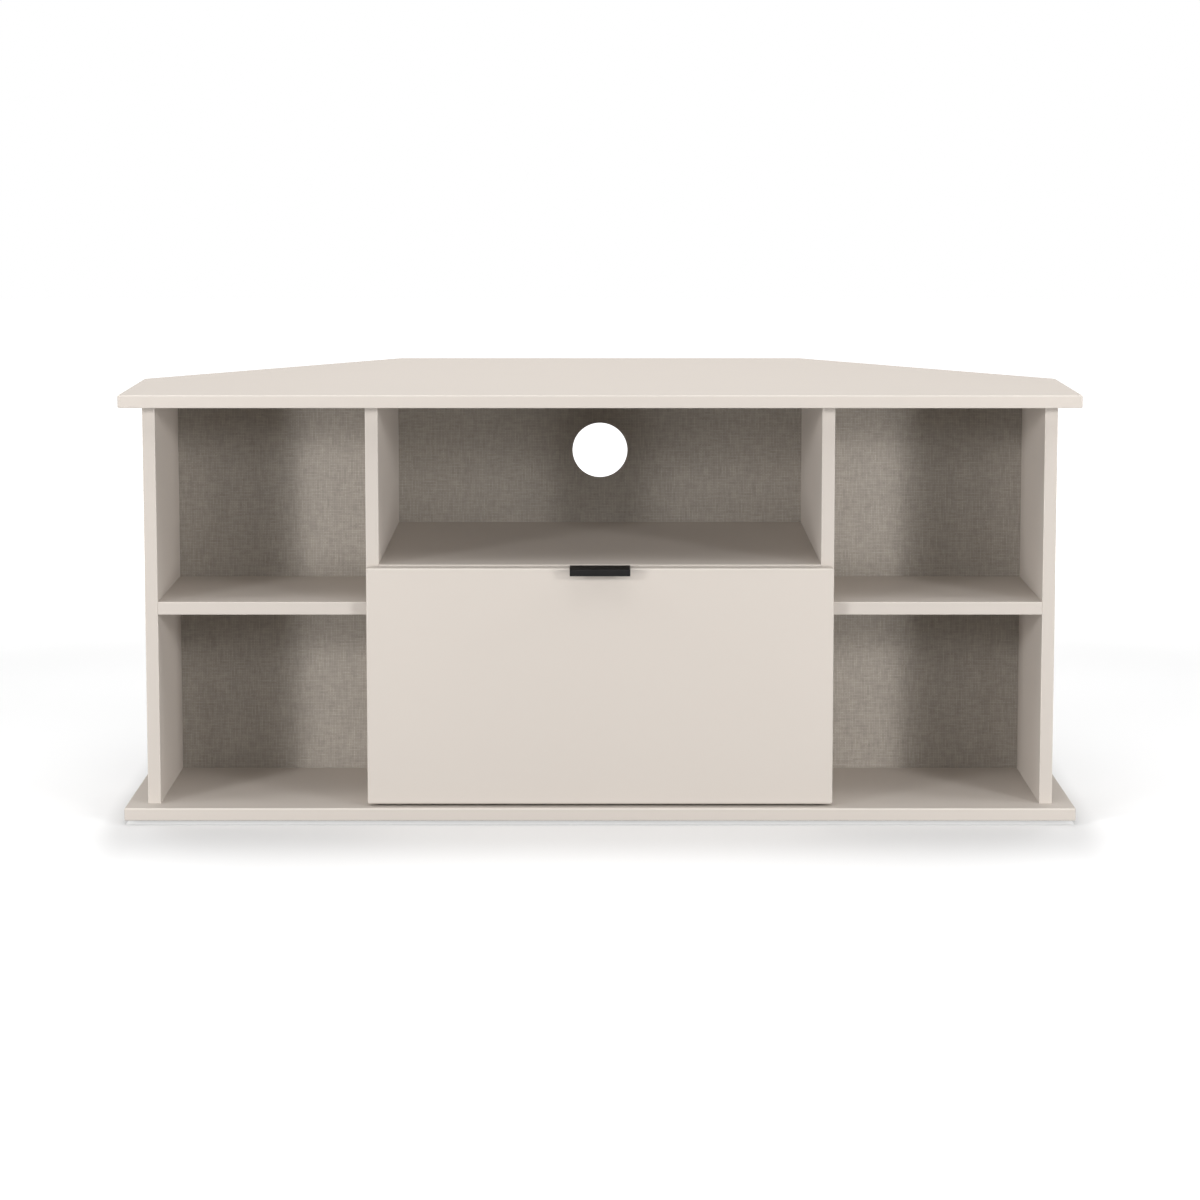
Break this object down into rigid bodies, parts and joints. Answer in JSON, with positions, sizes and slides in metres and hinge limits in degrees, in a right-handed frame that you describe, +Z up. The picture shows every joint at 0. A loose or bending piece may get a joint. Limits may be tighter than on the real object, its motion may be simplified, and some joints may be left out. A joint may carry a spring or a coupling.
{
  "type": "corner tv cabinet",
  "caption": "Low corner TV cabinet with back corners cut at 45 degrees, open side bays with shelves, an open middle bay with a cable hole and a deep drawer below it.",
  "frame": {"origin": "on the floor, under the middle of the whole cabinet's box, handle included", "axes": "+Z up, +X to the right seen from the front, the front faces -Y and the back corners are cut towards +Y"},
  "size_m": [1.11, 0.5096, 0.504],
  "materials": {
    "cashmere_board": "matt warm off-white lacquered board",
    "linen_back": "thin board with a matt woven linen print",
    "drawer_board": "matt foil-wrapped board",
    "black_metal": "fine matt black powder coat",
    "runner_paint": "white epoxy coat",
    "white_nylon": "smooth moulded nylon",
    "zinc_steel": "zinc plated",
    "beech_dowel": "bare fluted beech",
    "glide_plastic": "dark moulded plastic"
  },
  "bodies": {
    "carcass": {"base_plate": "cashmere_board", "base_screw_left_divider_back": "zinc_steel", "base_screw_left_divider_front": "zinc_steel", "base_screw_left_side_panel_back": "zinc_steel", "base_screw_left_side_panel_front": "zinc_steel", "base_screw_right_divider_back": "zinc_steel", "base_screw_right_divider_front": "zinc_steel", "base_screw_right_side_panel_back": "zinc_steel", "base_screw_right_side_panel_front": "zinc_steel", "centre_back_panel": "linen_back", "centre_shelf": "cashmere_board", "glide_left_divider_back": "glide_plastic", "glide_left_divider_front": "glide_plastic", "glide_left_side_panel_back": "glide_plastic", "glide_left_side_panel_front": "glide_plastic", "glide_right_divider_back": "glide_plastic", "glide_right_divider_front": "glide_plastic", "glide_right_side_panel_back": "glide_plastic", "glide_right_side_panel_front": "glide_plastic", "left_back_panel": "linen_back", "left_cabinet_runner": "runner_paint", "left_cabinet_runner_screw_back": "zinc_steel", "left_cabinet_runner_screw_front": "zinc_steel", "left_divider": "cashmere_board", "left_shelf": "cashmere_board", "left_side_panel": "cashmere_board", "right_back_panel": "linen_back", "right_cabinet_runner": "runner_paint", "right_cabinet_runner_screw_back": "zinc_steel", "right_cabinet_runner_screw_front": "zinc_steel", "right_divider": "cashmere_board", "right_shelf": "cashmere_board", "right_side_panel": "cashmere_board", "top_dowel_left_divider_back": "beech_dowel", "top_dowel_left_divider_front": "beech_dowel", "top_dowel_left_side_panel_back": "beech_dowel", "top_dowel_left_side_panel_front": "beech_dowel", "top_dowel_right_divider_back": "beech_dowel", "top_dowel_right_divider_front": "beech_dowel", "top_dowel_right_side_panel_back": "beech_dowel", "top_dowel_right_side_panel_front": "beech_dowel", "top_plate": "cashmere_board"},
    "drawer": {"drawer_back": "drawer_board", "drawer_bottom": "linen_back", "drawer_front": "cashmere_board", "drawer_handle": "black_metal", "drawer_left_side": "drawer_board", "drawer_right_side": "drawer_board", "handle_screw_left": "zinc_steel", "handle_screw_right": "zinc_steel", "left_drawer_runner": "runner_paint", "left_drawer_runner_screw_back": "zinc_steel", "left_drawer_runner_screw_front": "zinc_steel", "right_drawer_runner": "runner_paint", "right_drawer_runner_screw_back": "zinc_steel", "right_drawer_runner_screw_front": "zinc_steel"},
    "left_front_roller": {"left_front_roller": "white_nylon"},
    "left_rear_roller": {"left_rear_roller": "white_nylon"},
    "right_front_roller": {"right_front_roller": "white_nylon"},
    "right_rear_roller": {"right_rear_roller": "white_nylon"}
  },
  "joints": [
    {"name": "drawer_slide", "type": "slide", "parent": "carcass", "child": "drawer", "axis": [0, -1, 0], "range_m": [0, 0.23]},
    {"name": "left_front_roller_turn", "type": "hinge", "parent": "carcass", "child": "left_front_roller", "pos_m": [-0.2525, -0.20475, 0.0445], "axis": [1, 0, 0], "range_deg": [0, 1465]},
    {"name": "left_rear_roller_turn", "type": "hinge", "parent": "drawer", "child": "left_rear_roller", "pos_m": [-0.25, 0.06725, 0.0445], "axis": [1, 0, 0], "range_deg": [0, 1465]},
    {"name": "right_front_roller_turn", "type": "hinge", "parent": "carcass", "child": "right_front_roller", "pos_m": [0.2525, -0.20475, 0.0445], "axis": [1, 0, 0], "range_deg": [0, 1465]},
    {"name": "right_rear_roller_turn", "type": "hinge", "parent": "drawer", "child": "right_rear_roller", "pos_m": [0.25, 0.06725, 0.0445], "axis": [1, 0, 0], "range_deg": [0, 1465]}
  ],
  "couplings": [
    {"joint": "left_front_roller_turn", "follows": "drawer_slide", "rad_per_m": 111.11},
    {"joint": "left_rear_roller_turn", "follows": "drawer_slide", "rad_per_m": 111.11},
    {"joint": "right_front_roller_turn", "follows": "drawer_slide", "rad_per_m": 111.11},
    {"joint": "right_rear_roller_turn", "follows": "drawer_slide", "rad_per_m": 111.11}
  ]
}
